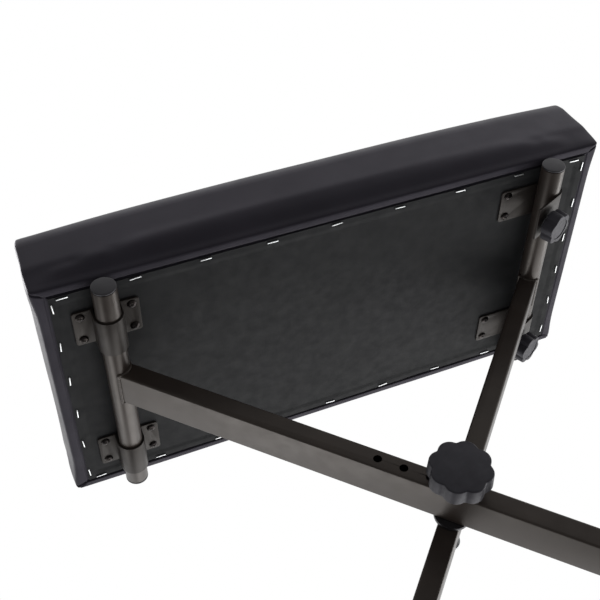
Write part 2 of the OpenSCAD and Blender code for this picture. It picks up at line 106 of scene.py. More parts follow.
def selectParts(piece, mode, parts, test):
    # in edit mode, select the faces or edges that pass the test
    pick(piece)
    bpy.ops.object.mode_set(mode="EDIT")
    bpy.ops.mesh.select_mode(type=mode)
    bpy.ops.mesh.select_all(action="DESELECT")
    bpy.ops.object.mode_set(mode="OBJECT")
    for part in parts:
        part.select = test(part)
    bpy.ops.object.mode_set(mode="EDIT")


def named(name):
    piece = bpy.context.view_layer.objects.active
    piece.name = name
    piece.data.name = name
    return piece


def settle(piece):
    # place, turn and modifiers all go into the mesh
    pick(piece)
    bpy.ops.object.transform_apply(location=True, rotation=True, scale=True)
    for modifier in list(piece.modifiers):
        bpy.ops.object.modifier_apply(modifier=modifier.name)
    return piece


def moveMesh(piece, matrix):
    piece.data.transform(matrix)
    piece.data.update()
    return piece


def smooth(piece, degrees):
    pick(piece)
    bpy.ops.object.shade_smooth_by_angle(angle=math.radians(degrees))
    return piece


def facesOut(piece):
    pick(piece)
    bpy.ops.object.mode_set(mode="EDIT")
    bpy.ops.mesh.select_all(action="SELECT")
    bpy.ops.mesh.remove_doubles(threshold=1e-6)
    bpy.ops.mesh.normals_make_consistent(inside=False)
    bpy.ops.object.mode_set(mode="OBJECT")
    return piece


def softenEdges(piece, width, segments, degrees):
    # rounds every edge that is sharper than this angle
    bevel = piece.modifiers.new("softEdges", "BEVEL")
    bevel.width = width
    bevel.segments = segments
    bevel.limit_method = "ANGLE"
    bevel.angle_limit = math.radians(degrees)
    bevel.use_clamp_overlap = True
    pick(piece)
    bpy.ops.object.modifier_apply(modifier=bevel.name)
    return piece


def carve(piece, tool, operation="DIFFERENCE"):
    # the tool is used up
    boolean = piece.modifiers.new("carve", "BOOLEAN")
    boolean.operation = operation
    boolean.object = tool
    boolean.solver = "EXACT"
    pick(piece)
    bpy.ops.object.modifier_apply(modifier=boolean.name)
    bpy.data.objects.remove(tool)
    return piece


def joined(name, *pieces):
    pick(*pieces)
    bpy.ops.object.join()
    return named(name)


def copyOf(piece, name):
    twin = bpy.data.objects.new(name, piece.data.copy())
    twin.data.name = name
    bpy.context.scene.collection.objects.link(twin)
    return twin


def turned(name, profile, sides):
    # lathe work: a profile of (radius, height) points spun round Z
    deselect()
    bpy.ops.mesh.primitive_plane_add(size=1)
    piece = named(name)
    bpy.ops.object.mode_set(mode="EDIT")
    bpy.ops.mesh.select_mode(type="VERT")
    bpy.ops.mesh.select_all(action="SELECT")
    bpy.ops.mesh.merge(type="CENTER")
    bpy.ops.transform.translate(value=(profile[0][0], 0, profile[0][1]))
    for (r0, h0), (r1, h1) in zip(profile, profile[1:]):
        bpy.ops.mesh.extrude_region_move(
            TRANSFORM_OT_translate={"value": (r1 - r0, 0, h1 - h0)}
        )
    bpy.ops.mesh.select_all(action="SELECT")
    bpy.ops.mesh.spin(
        steps=sides, angle=math.tau, center=(0, 0, 0), axis=(0, 0, 1), use_auto_merge=True
    )
    bpy.ops.object.mode_set(mode="OBJECT")
    return facesOut(piece)


def bar(name, radius, start, end, sides):
    # round rod between two points
    start, end = Vector(start), Vector(end)
    deselect()
    bpy.ops.mesh.primitive_cylinder_add(
        vertices=sides, radius=radius, depth=(end - start).length
    )
    turn = (end - start).to_track_quat("Z", "Y").to_matrix().to_4x4()
    return moveMesh(named(name), Matrix.Translation((start + end) / 2) @ turn)


def block(name, size, centre=(0, 0, 0)):
    deselect()
    bpy.ops.mesh.primitive_cube_add(size=1, location=centre)
    piece = named(name)
    piece.scale = size
    return settle(piece)


def turnTo(along, side, up):
    # the turn that lays X, Y and Z along these three ways
    return Matrix((along, side, up)).transposed().to_4x4()


def dress(piece, material, body, slot, *replaced):
    # its finish, the body that carries it, and the solids that it stands for
    piece.data.materials.clear()
    piece.data.materials.append(material)
    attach(piece, body)
    if replaced:
        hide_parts(*replaced)
    return piece


def refined(node, width, material, body, slot, segments, degrees):
    # a copy of a CAD solid with its loose triangles merged, and its sharp edges softened
    piece = copyOf(nodes[node], node + "_dressed")
    facesOut(piece)
    bpy.ops.object.mode_set(mode="EDIT")
    bpy.ops.mesh.select_all(action="SELECT")
    bpy.ops.mesh.dissolve_limited(angle_limit=math.radians(1))
    bpy.ops.object.mode_set(mode="OBJECT")
    if piece.data.has_custom_normals:
        bpy.ops.mesh.customdata_custom_splitnormals_clear()
    softenEdges(piece, width, segments, degrees)
    smooth(piece, 40)
    return dress(piece, material, body, slot, node)


def colour(hexValue):
    # sRGB hex to the linear colour that nodes take
    parts = [int(hexValue[i : i + 2], 16) / 255 for i in (1, 3, 5)]
    return [p / 12.92 if p <= 0.04045 else ((p + 0.055) / 1.055) ** 2.4 for p in parts] + [1]


def addNode(tree, kind, settings=None, links=None):
    # settings and links go by socket name or number; other names are the node's own options
    node = tree.nodes.new(kind)
    for name, value in (settings or {}).items():
        if isinstance(name, int) or name in node.inputs:
            node.inputs[name].default_value = value
        else:
            setattr(node, name, value)
    for name, source in (links or {}).items():
        tree.links.new(source, node.inputs[name])
    return node


def makeFinish(name, look):
    # what every finish here has: a faintly clouded colour, an uneven sheen and a fine relief;
    # each pattern's size is the real width of its patches
    material = bpy.data.materials.new(name)
    material.use_nodes = True
    tree = material.node_tree
    tree.nodes.clear()
    place = addNode(tree, "ShaderNodeTexCoord").outputs["Object"]
    cloud = addNode(tree, "ShaderNodeTexNoise", noisePattern(*look["cloud"]), {"Vector": place})
    tone = addNode(tree, "ShaderNodeValToRGB", {}, {"Fac": cloud.outputs["Fac"]})
    paintRamp(tone, look["colours"])
    dulled = addNode(tree, "ShaderNodeTexNoise", noisePattern(*look["sheen"]), {"Vector": place})
    low, high = look["rough"]
    # this noise hardly leaves 0.3 to 0.7
    spread = {"From Min": 0.3, "From Max": 0.7, "To Min": low, "To Max": high}
    rough = addNode(tree, "ShaderNodeMapRange", spread, {"Value": dulled.outputs["Fac"]})
    shader = addNode(
        tree,
        "ShaderNodeBsdfPrincipled",
        look.get("shader"),
        {"Base Color": tone.outputs["Color"], "Roughness": rough.outputs["Result"]},
    )
    under = None
    for kind, pattern, depth, strength in look["reliefs"]:
        height = addNode(tree, kind, pattern, {"Vector": place}).outputs[0]
        links = {"Height": height, "Normal": under} if under else {"Height": height}
        bump = addNode(tree, "ShaderNodeBump", {"Strength": strength, "Distance": depth}, links)
        under = bump.outputs["Normal"]
    tree.links.new(under, shader.inputs["Normal"])
    addNode(tree, "ShaderNodeOutputMaterial", {}, {"Surface": shader.outputs["BSDF"]})
    parts = {"tree": tree, "place": place, "cloud": cloud, "rough": rough, "shader": shader}
    return material, parts


def noisePattern(size, detail=3.0, roughness=0.55):
    return {"Scale": 1 / size, "Detail": detail, "Roughness": roughness}


def paintRamp(ramp, colours):
    for element, position, hexValue in zip(ramp.color_ramp.elements, (0.35, 0.65), colours):
        element.position = position
        element.color = colour(hexValue)


def paintedSteel(name, colours, rough, peel, shine):
    # powder coat, sprayed dry and baked: satin, slightly dusty, with orange peel of about 1.5 mm
    look = {
        "colours": colours,
        "cloud": (50 * mm,),
        "sheen": (18 * mm, 4),
        "rough": (rough - 0.05, rough + 0.06),
        "reliefs": [("ShaderNodeTexNoise", noisePattern(1.6 * mm, 2), peel, 0.5)],
        "shader": {"Specular IOR Level": shine, "Specular Tint": colour("#fff6ee")},
    }
    return makeFinish(name, look)[0]


def mouldedPlastic(name, colours, rough, grit):
    # taken from a spark-eroded mould: matt grit, drawn coarser than it is so that it shows
    look = {
        "colours": colours,
        "cloud": (12 * mm,),
        "sheen": (4 * mm,),
        "rough": (rough - 0.04, rough + 0.05),
        "reliefs": [("ShaderNodeTexNoise", noisePattern(0.7 * mm, 2), grit, 0.6)],
        "shader": {"Specular IOR Level": 0.5, "Specular Tint": colour("#f3f1fb")},
    }
    return makeFinish(name, look)[0]


def bareMetal(name, colours, rough, lay):
    # plated or turned: reflections broken by fine tool marks, each as wide as the lay
    look = {
        "colours": colours,
        "cloud": (6 * mm,),
        "sheen": (2 * mm, 4),
        "rough": (rough - 0.06, rough + 0.08),
        "reliefs": [("ShaderNodeTexNoise", noisePattern(lay, 2), 0.02 * mm, 0.5)],
        "shader": {"Metallic": 1.0},
    }
    return makeFinish(name, look)[0]


def upholsteryVinyl():
    # leathercloth, PVC spread on knit and embossed: pebbles of about 1.3 mm, a satin skin with a
    # faint violet glint, and shallow folds where the foam pushes it
    pebbles = {"Scale": 1 / (1.3 * mm), "Randomness": 0.9}
    look = {
        "colours": ("#1a191d", "#211f24"),
        "cloud": (70 * mm,),
        "sheen": (30 * mm, 4),
        "rough": (0.36, 0.46),
        "reliefs": [
            ("ShaderNodeTexVoronoi", pebbles, 0.08 * mm, 0.35),
            ("ShaderNodeTexNoise", noisePattern(60 * mm, 1), 0.6 * mm, 0.14),
        ],
        "shader": {"Specular IOR Level": 0.5, "Specular Tint": colour("#efe6ff")},
    }
    material, parts = makeFinish("blackLeathercloth", look)
    # the wrap under the board is stretched and rubbed dull
    tree = parts["tree"]
    height = addNode(tree, "ShaderNodeSeparateXYZ", {}, {"Vector": parts["place"]})
    wrap = {"From Min": underZ + 2 * mm, "From Max": underZ + 9 * mm, "To Min": 1.0, "To Max": 0.0}
    under = addNode(tree, "ShaderNodeMapRange", wrap, {"Value": height.outputs["Z"]})
    rubbed = addNode(
        tree,
        "ShaderNodeMath",
        {"operation": "MULTIPLY_ADD", 1: 0.24},
        {0: under.outputs["Result"], 2: parts["rough"].outputs["Result"]},
    )
    tree.links.new(rubbed.outputs[0], parts["shader"].inputs["Roughness"])
    return material


def dustCloth():
    # spunbonded polypropylene, point-bonded between rollers: matt fibres with a faint dot pattern
    dots = {"Scale": 1 / (1.8 * mm), "Randomness": 0.15}
    look = {
        "colours": ("#131416", "#191a1c"),
        "cloud": (20 * mm, 5, 0.65),
        "sheen": (10 * mm,),
        "rough": (0.62, 0.75),
        "reliefs": [
            ("ShaderNodeTexNoise", noisePattern(0.9 * mm, 3), 0.06 * mm, 0.5),
            ("ShaderNodeTexVoronoi", dots, 0.06 * mm, 0.4),
        ],
        "shader": {"Specular IOR Level": 0.24, "Sheen Weight": 0.04},
    }
    return makeFinish("blackSpunbondCloth", look)[0]


def birchPlywood():
    # peeled and glued birch: a pale, dry face with a long soft figure
    look = {
        "colours": ("#b08a5c", "#c9a679"),
        "cloud": (120 * mm, 4),
        "sheen": (10 * mm,),
        "rough": (0.55, 0.7),
        "reliefs": [("ShaderNodeTexNoise", noisePattern(2 * mm), 0.1 * mm, 1.0)],
    }
    material, parts = makeFinish("birchPlywood", look)
    drawn = {"Scale": (1, 12, 1)}  # the figure runs along X
    figure = addNode(parts["tree"], "ShaderNodeMapping", drawn, {"Vector": parts["place"]})
    parts["tree"].links.new(figure.outputs["Vector"], parts["cloud"].inputs["Vector"])
    return material


leathercloth = upholsteryVinyl()
undersideCloth = dustCloth()
plywood = birchPlywood()
# thick coat on tubes and legs: brownish black, glossy enough for long soft highlights
frameCoat = paintedSteel("satinBlackPowderCoat", ("#2b2522", "#322b27"), 0.36, 0.03 * mm, 0.65)
# thin coat on the pressed brackets: darker, duller and flatter
bracketCoat = paintedSteel("semiGlossBracketCoat", ("#221e1c", "#2b2725"), 0.42, 0.02 * mm, 0.32)
# filled nylon of the knobs: matt and faintly blue
knobPlastic = mouldedPlastic("mattKnobPlastic", ("#242328", "#2c2b30"), 0.52, 0.03 * mm)
# polyethylene of the end caps: smooth and a little waxy
capPlastic = mouldedPlastic("endCapPolyethylene", ("#2a292a", "#323132"), 0.38, 0.02 * mm)
# nylon of the spacer: plain and dark
spacerNylon = mouldedPlastic("blackNylon", ("#1a1919", "#232222"), 0.40, 0.02 * mm)
# rubber of the feet: dull and coarse
footRubber = mouldedPlastic("blackRubber", ("#161617", "#1e1e1f"), 0.72, 0.05 * mm)
# bright zinc, barrel-plated: silvery and slightly cloudy
zincSteel = bareMetal("brightZincSteel", ("#a5a8aa", "#c2c4c5"), 0.30, 0.8 * mm)
# black passivated zinc: an oily dark gloss
screwSteel = bareMetal("blackPassivatedSteel", ("#2a2727", "#45403e"), 0.30, 0.8 * mm)
# turned brass: yellow, with fine rings
insertBrass = bareMetal("turnedBrass", ("#9c7c36", "#b8964a"), 0.28, 0.6 * mm)
# galvanised wire: so pale that each staple reads as a bright dash
stapleSteel = bareMetal("galvanisedStapleWire", ("#e4e6e7", "#f4f5f5"), 0.35, 0.6 * mm)
print("materials ready")

cushion = {
    "slack": 0.3 * mm,  # how far the blank stays inside the finished sides
    "crownRoom": 0.6 * mm,  # how far it stays below the finished top
    "upperEdge": 4.0 * mm,  # radius of the upper edges and corners
    "lowerEdge": 3.0 * mm,  # the wrap is pulled tight round the board
    "wrapHeight": 2.6 * mm,
    "cell": 6 * mm,
    "crowd": 18 * mm,  # within this distance of an edge the cells get narrower
    "layers": 13,
    "fineEdge": (10 * mm, 16 * mm),  # height and inset of the band with smaller faces
    "fineCorner": (14 * mm, 22 * mm),
    "heldHeight": 3 * mm,  # the wrap is held to the board below this height
    "pressure": 4.0,
    "settling": 20,  # frames of cloth simulation
    "topRise": 2.5 * mm,  # the most that foam pushes the top up
    "topBand": 2 * mm,  # what counts as top
    "sideSwell": 1.2 * mm,
    "boardHeight": 16 * mm,  # sides are firm over the plywood
    "firmShare": 0.3,  # the give grows from this share of it upwards
    "leastGive": 0.1,
    "rampStart": 4 * mm,  # the sides lean out from here
    "rampEnd": 29 * mm,  # to here, where they turn upright
    "rampSoft": 1.2 * mm,
    "flare": 3.5 * mm,  # the foam stands this far past the board all round and on top
    "crown": 8.0 * mm,  # rise of the middle of the top
    "edgeCrown": 5.0 * mm,  # rise of the long upper edges at mid length
    "endCrown": 0.5 * mm,  # rise of the short upper edges at mid width
    "longBow": 5.0 * mm,  # how far the long sides bow out at mid length
    "shortPull": 1.8 * mm,  # how far the short sides pull in between their corners
    "bunch": 3.6 * mm,  # folded cloth that fills out the lower corners
    "bunchHeight": 30 * mm,
    "bunchReach": (22 * mm, 26 * mm),  # along X and Y
    "bunchFoot": 8 * mm,  # it grows over this height
    "bunchStart": 0.6,  # its share at the bottom
    "rollDepth": 1.5 * mm,  # the wrapped edge hangs this far below the cloth
    "rollHeight": 7 * mm,
    "rollWidth": 9.4 * mm,
    "rollEdge": 1.1 * mm,  # width of its inner edge
    "grooveWidth": 3.2 * mm,
    "grooveRise": 1.05 * mm,
    "grooveHeight": 2 * mm,  # only the underside below this height has the groove
    "grooveSlopes": (8, 4),  # steep at the roll, easy towards the cloth
    "shortShare": 0.35,  # the short sides are pulled flatter than the long ones
    "hemWander": 0.35 * mm,
    "hemWaves": 14,  # per metre, roughly
    "hemRows": (-1.6, -0.9, -0.3, 0.2, 0.7, 1.3, 2.1, 2.8, 3.4),  # mm inwards from the hem
    "hemBand": 8 * mm,  # only faces this close to the hem are cut
    "hemHeight": 1 * mm,  # and only below this height
    "unevenness": 0.3 * mm,
    "dents": (9, 9, 14),  # per metre, roughly
    "foldWidth": 0.85 * mm,
    "foldDepth": 1.8 * mm,
    "foldHeight": 12 * mm,
    "foldOffset": 5 * mm,  # the fold meets the end this far from the corner
    "foldSpan": (-0.2, 1.3),  # in shares of its line from the hem to the end
    "foldStart": 4,  # it is at full depth a quarter of the way along its line
}


def buildBlank(low, size):
    # an even box of square cells, its edges pulled onto quarter rounds
    deselect()
    bpy.ops.mesh.primitive_grid_add(
        x_subdivisions=round(size.x / cushion["cell"]),
        y_subdivisions=round(size.y / cushion["cell"]),
        size=1,
    )
    blank = named("seat_cushion")
    blank.scale = (size.x, size.y, 1)
    settle(blank)
    bpy.ops.object.mode_set(mode="EDIT")
    bpy.ops.mesh.select_mode(type="FACE")
    bpy.ops.mesh.select_all(action="SELECT")
    step = (0, 0, size.z / cushion["layers"])
    for layer in range(cushion["layers"]):
        bpy.ops.mesh.extrude_region_move(TRANSFORM_OT_translate={"value": step})
    bpy.ops.object.mode_set(mode="OBJECT")
    facesOut(blank)
    half = size / 2
    crowd = cushion["crowd"]
    for vertex in blank.data.vertices:
        co = vertex.co - Vector((0, 0, half.z))
        # cells get narrower towards every edge, so that the edges stay crisp
        for axis in range(3):
            inset = half[axis] - abs(co[axis])
            if inset < crowd:
                co[axis] = math.copysign(half[axis] - inset * inset / crowd, co[axis])
        share = clamped(co.z / size.z + 0.5)
        wide = cushion["lowerEdge"] + (cushion["upperEdge"] - cushion["lowerEdge"]) * share
        tall = wide if co.z > 0 else cushion["wrapHeight"]
        room = Vector((half.x - wide, half.y - wide, half.z - tall))
        inner = Vector([clamped(c, -r, r) for c, r in zip(co, room)])
        away = co - inner
        away = Vector((away.x / wide, away.y / wide, away.z / tall))
        if away.length > 0:
            away.normalize()
        co = inner + Vector((away.x * wide, away.y * wide, away.z * tall))
        vertex.co = co + Vector((0, 0, half.z + low.z))
    blank.data.update()
    return blank


def swell(cover, low, high):
    # foam pressure by cloth simulation; the foam gives only so far, and hardly beside the board
    held = cover.vertex_groups.new(name="heldDown")
    firm = [v.index for v in cover.data.vertices if v.co.z < low.z + cushion["heldHeight"]]
    held.add(firm, 1.0, "REPLACE")
    start = [v.co.copy() for v in cover.data.vertices]
    firmShare, leastGive = cushion["firmShare"], cushion["leastGive"]
    cloth = cover.modifiers.new("foamPressure", "CLOTH")
    cloth.settings.quality = 5
    cloth.settings.use_pressure = True
    cloth.settings.uniform_pressure_force = cushion["pressure"]
    cloth.settings.effector_weights.gravity = 0
    cloth.settings.vertex_group_mass = "heldDown"
    for step in range(cushion["settling"]):
        bpy.context.scene.frame_set(step + 1)
    pick(cover)
    bpy.ops.object.modifier_apply(modifier=cloth.name)
    bpy.context.scene.frame_set(1)
    for vertex, before in zip(cover.data.vertices, start):
        push = vertex.co - before
        give = clamped((before.z - low.z) / cushion["boardHeight"] - firmShare, leastGive)
        top = before.z > high.z - cushion["crownRoom"] - cushion["topBand"]
        limit = (cushion["topRise"] if top else cushion["sideSwell"]) * give
        reach = push.length
        if reach > 1e-9:
            push *= limit * math.tanh(reach / limit) / reach
        vertex.co = before + push
    cover.data.update()


def softRamp(value, start, end, soft):
    # 0 before the start, 1 after the end, straight between them, with eased corners
    def eased(distance):
        return soft * math.log1p(math.exp(min(distance / soft, 50)))

    return (eased(value - start) - eased(value - end)) / (end - start)


def plump(cover, low, high):
    # crowned top, and sides that bow out between firm corners
    flare, edgeCrown = cushion["flare"], cushion["edgeCrown"]
    reachX, reachY = cushion["bunchReach"]
    for vertex in cover.data.vertices:
        co = vertex.co
        x, y = co.x / high.x, co.y / high.y
        height = co.z - low.z
        share = clamped(height / (high.z - low.z))
        body = softRamp(height, cushion["rampStart"], cushion["rampEnd"], cushion["rampSoft"])
        alongX = max(1 - abs(x) ** 3, 0)
        alongY = max(1 - abs(y) ** 3, 0)
        rise = edgeCrown * alongX + (cushion["crown"] - edgeCrown) * alongX * alongY
        rise += cushion["endCrown"] * alongY + flare
        outY = (cushion["longBow"] * alongX + flare) * body * y
        outX = (flare - cushion["shortPull"] * alongY) * body * x
        # the folded cloth at each lower corner
        fold = math.exp(-((height / cushion["bunchHeight"]) ** 2))
        toEndX = (high.x - abs(co.x)) / reachX
        toEndY = (high.y - abs(co.y)) / reachY
        full = cushion["bunch"] * fold * math.exp(-(toEndX**2) - toEndY**2)
        full *= clamped(height / cushion["bunchFoot"] + cushion["bunchStart"])
        outX += full * (1 if x > 0 else -1)
        vertex.co = co + Vector((outX, outY, rise * share * share))
    cover.data.update()


def refine(cover, low, high, height, reach, nearest):
    # smaller faces round the wrapped edge
    def inBand(face):
        spot = face.center
        inset = nearest(high.x - abs(spot.x), high.y - abs(spot.y))
        return spot.z < low.z + height and inset < reach

    selectParts(cover, "FACE", cover.data.polygons, inBand)
    bpy.ops.mesh.subdivide(number_cuts=1)
    bpy.ops.object.mode_set(mode="OBJECT")


def cutRows(cover, low, high):
    # extra rows of points along the hem, so that the roll's edge and the groove stay crisp
    for away in cushion["hemRows"]:
        for side in (-1, 1):
            for axis in (0, 1):
                hem = high[axis] - cushion["rollWidth"]
                place, way = Vector(), Vector()
                place[axis] = side * (hem - away * mm)
                place.z = low.z
                way[axis] = 1

                def nearHem(face):
                    near = abs(abs(face.center[axis]) - hem) < cushion["hemBand"]
                    return near and face.center.z < low.z + cushion["hemHeight"]

                selectParts(cover, "FACE", cover.data.polygons, nearHem)
                bpy.ops.mesh.bisect(plane_co=place, plane_no=way)
                bpy.ops.object.mode_set(mode="OBJECT")


def shapeHem(cover, outwards, low, high):
    # the wrapped edge is a soft roll that hangs below the cloth, then a groove at the hem
    rollHeight, groove = cushion["rollHeight"], cushion["grooveWidth"]
    steep, easy = cushion["grooveSlopes"]
    for vertex, facing in zip(cover.data.vertices, outwards):
        co = vertex.co.copy()
        insetX, insetY = high.x - abs(co.x), high.y - abs(co.y)
        inset = min(insetX, insetY)
        height = co.z - low.z
        longSide = insetY < insetX
        along = co.x if longSide else co.y
        pull = 1 if longSide else cushion["shortShare"]
        wander = noise.noise(Vector((along * cushion["hemWaves"], 5, 1)))
        hem = cushion["rollWidth"] + cushion["hemWander"] * wander
        if height < rollHeight and inset < hem:
            near = 1 - max(height, 0) / rollHeight
            across = min((hem - inset) / cushion["rollEdge"], 1)
            co.z -= cushion["rollDepth"] * pull * near * math.sin(math.pi / 2 * across)
        elif height < cushion["grooveHeight"] and inset < hem + groove:
            across = (inset - hem) / groove
            level = min(across * steep, 1, (1 - across) * easy)
            co.z += pull * cushion["grooveRise"] * level
        # gentle unevenness of pulled leathercloth
        lift = noise.noise(Vector([c * often for c, often in zip(co, cushion["dents"])]))
        vertex.co = co + facing * lift * cushion["unevenness"]


def shapeCornerFolds(cover, outwards, low, high):
    # the cloth doubles over at each lower corner and leaves a crease to the hem
    foldHeight, width = cushion["foldHeight"], cushion["rollWidth"]
    first, last = cushion["foldSpan"]
    for sx in (-1, 1):
        for sy in (-1, 1):
            hem = Vector((sx * (high.x - width), sy * (high.y - width)))
            line = Vector((sx * high.x, sy * (high.y - cushion["foldOffset"]))) - hem
            for vertex, facing in zip(cover.data.vertices, outwards):
                co = vertex.co
                if co.z > low.z + foldHeight:
                    continue
                flat = co.xy - hem
                share = flat.dot(line) / line.length_squared
                if not first < share < last:
                    continue
                off = (flat - line * share).length
                depth = math.exp(-((off / cushion["foldWidth"]) ** 2)) * cushion["foldDepth"]
                fade = 1 - clamped((co.z - low.z) / foldHeight)
                fade *= clamped(share * cushion["foldStart"])
                vertex.co = co - facing * depth * fade


def buildCushion():
    low, high = Vector(seatLow), Vector(seatHigh)
    slack, room = cushion["slack"], cushion["crownRoom"]
    sizeX, sizeY = high.x - low.x - 2 * slack, high.y - low.y - 2 * slack
    size = Vector((sizeX, sizeY, high.z - low.z - room))
    cover = buildBlank(low, size)
    swell(cover, low, high)
    finer = cover.modifiers.new("finer", "SUBSURF")
    finer.levels = 1
    settle(cover)
    plump(cover, low, high)

    # min takes in the whole edge, max only the corners
    for (height, reach), nearest in ((cushion["fineEdge"], min), (cushion["fineCorner"], max)):
        refine(cover, low, high, height, reach, nearest)
    cutRows(cover, low, high)
    outwards = [vertex.normal.copy() for vertex in cover.data.vertices]
    shapeHem(cover, outwards, low, high)
    shapeCornerFolds(cover, outwards, low, high)
    cover.data.update()
    return smooth(cover, 80)


cover = buildCushion()
dress(cover, leathercloth, "seat", "black_vinyl", "vinyl_cover", "foam_pad")
print("seat cover:", len(cover.data.polygons), "faces")

lining = {
    "thick": 0.4 * mm,
    "short": 1.9 * mm,  # the cut edge stays this far from the wrapped roll
    "cell": 2.6 * mm,
    "lie": 0.15 * mm,  # the cloth lies this far below the board
    "ripple": 0.55 * mm,
    "longShare": 0.7,
    "longRipples": (5.5, 15),  # per metre along X and Y, roughly
    "fineShare": 0.8,
    "fineRipples": 30,
    "hemWidth": 8 * mm,
    "hemDrop": 0.8 * mm,  # the folded hem is three layers thick
    "hemRipples": 22 * mm,  # the fine ripples fade over this distance
    "edgeWave": 0.5 * mm,
    "edgeWaves": 26,
    "edgeBand": 0.5 * mm,  # points this close to the cut edge move with it
    "bracketReach": 14 * mm,  # the cloth lies flat up to this far from a bracket
}
bracketNodes = ("hinge_saddle_near", "hinge_saddle_far", "hook_bracket_near", "hook_bracket_far")


def underBracket(x, y):
    # 1 under a bracket's plate, falling to 0 a little outside it
    best = 0.0
    for node in bracketNodes:
        low, high = boxes[node]
        away = max(low.x - x, x - high.x, low.y - y, y - high.y, 0)
        best = max(best, 1 - min(away / lining["bracketReach"], 1))
    return best


def buildLining():
    low, high = boxes["dust_cover"]
    size = high - low
    short = lining["short"]
    deselect()
    bpy.ops.mesh.primitive_grid_add(
        x_subdivisions=int(size.x / lining["cell"]),
        y_subdivisions=int(size.y / lining["cell"]),
        size=1,
    )
    cloth = named("dust_cloth")
    cloth.scale = (size.x - 2 * short, size.y - 2 * short, 1)
    settle(cloth)
    oftenX, oftenY = lining["longRipples"]
    fineOften, edgeOften = lining["fineRipples"], lining["edgeWaves"]
    longShare, fineShare = lining["longShare"], lining["fineShare"]
    for vertex in cloth.data.vertices:
        co = vertex.co
        insetX, insetY = size.x / 2 - abs(co.x) - short, size.y / 2 - abs(co.y) - short
        inset = min(insetX, insetY)
        # long soft ripples pulled between the staples, finer ones close to the hem
        long = noise.noise(Vector((co.x * oftenX, co.y * oftenY, 1.3)))
        fine = noise.noise(Vector((co.x * fineOften, co.y * fineOften, 7.1)))
        edge = math.exp(-inset / lining["hemRipples"])
        calm = 1 - underBracket(co.x, co.y)
        rise = lining["ripple"] * (longShare * long + fineShare * edge * fine) * calm
        drop = lining["hemDrop"] if inset < lining["hemWidth"] else 0
        co.z = max(high.z - lining["lie"] + rise - drop, low.z + lining["thick"] - drop)
        # the cut edge isn't quite straight
        wave = noise.noise(Vector((co.x * edgeOften, co.y * edgeOften, 4.2)))
        if insetY < lining["edgeBand"]:
            co.y += wave * lining["edgeWave"]
        elif insetX < lining["edgeBand"]:
            co.x += wave * lining["edgeWave"]
    thick = cloth.modifiers.new("thickness", "SOLIDIFY")
    thick.thickness = lining["thick"]
    thick.offset = -1
    settle(cloth)
    return smooth(cloth, 60)


dustSheet = buildLining()
dress(dustSheet, undersideCloth, "seat", "black_cloth", "dust_cover")
print("dust cloth:", len(dustSheet.data.polygons), "faces")

staple = {
    "crown": 11 * mm,
    "wire": 0.95 * mm,
    "leg": 6 * mm,
    "overlap": 0.1 * mm,  # the legs reach this far into the crown
    "bend": 0.28 * mm,  # radius of the wire's edges
    "proud": 0.25 * mm,
    "inset": 14.5 * mm,
    "long": 9,  # staples on each long side
    "short": 6,
    "twist": 5,  # degrees either way
    "stray": (1 * mm, 0.6 * mm),
}


def buildStaples():
    wire, crown, inset = staple["wire"], staple["crown"], staple["inset"]
    model = block("staple", (crown, wire, wire), (0, 0, -wire / 2))
    for side in (-1, 1):
        place = (side * (crown - wire) / 2, 0, staple["leg"] / 2 - staple["overlap"])
        carve(model, block("stapleLeg", (wire, wire, staple["leg"]), place), "UNION")
    softenEdges(model, staple["bend"], 3, 40)
    places = []
    for i in range(staple["long"]):
        x = (i / (staple["long"] - 1) - 0.5) * 2 * (seatHigh.x - inset - crown)
        places += [(x, side * (seatHigh.y - inset), 0) for side in (-1, 1)]
    for i in range(staple["short"]):
        y = (i / (staple["short"] - 1) - 0.5) * 2 * (seatHigh.y - inset - crown)
        places += [(side * (seatHigh.x - inset), y, 90) for side in (-1, 1)]
    strayX, strayY = staple["stray"]
    z = underZ - staple["proud"] - lining["hemDrop"]
    copies = []
    for x, y, turn in places:
        angle = math.radians(turn + random.uniform(-staple["twist"], staple["twist"]))
        x += random.uniform(-strayX, strayX)
        y += random.uniform(-strayY, strayY)
        one = copyOf(model, "stapleCopy")
        moveMesh(one, Matrix.Translation((x, y, z)) @ Matrix.Rotation(angle, 4, "Z"))
        copies.append(one)
    bpy.data.objects.remove(model)
    return smooth(joined("staple_row", *copies), 50)


dress(buildStaples(), stapleSteel, "seat", "zinc_steel", "staples")
print("staples ready")

tube = {"wall": 1.5 * mm, "rim": 0.3 * mm}
leg = {
    "deep": 20 * mm,  # in the plane of the cross; the width comes from the frame
    "corner": 1.9 * mm,
    "wall": 1.5 * mm,
    "copeRoom": 0.02 * mm,
    "core": 1.1,  # the tool that hollows it is this much longer
    "hole": 4.06 * mm,  # radius
    "pitch": 25 * mm,
    "holes": 4,
}
throughAll = 0.1  # half length of the tools that cut right across a leg or a foot
quarterTurn = math.radians(90)


def buildTube(name, node):
    centre = middle(node)
    deselect()
    bpy.ops.mesh.primitive_cylinder_add(
        vertices=128, radius=tubeRadius, depth=tubeHigh.y - tubeLow.y, end_fill_type="NOTHING"
    )
    piece = named(name)
    wall = piece.modifiers.new("wall", "SOLIDIFY")
    wall.thickness = tube["wall"]
    wall.offset = -1
    settle(piece)
    softenEdges(piece, tube["rim"], 2, 60)
    place = Matrix.Translation((centre.x, (tubeLow.y + tubeHigh.y) / 2, centre.z))
    moveMesh(piece, place @ Matrix.Rotation(quarterTurn, 4, "X"))
    return smooth(piece, 40)


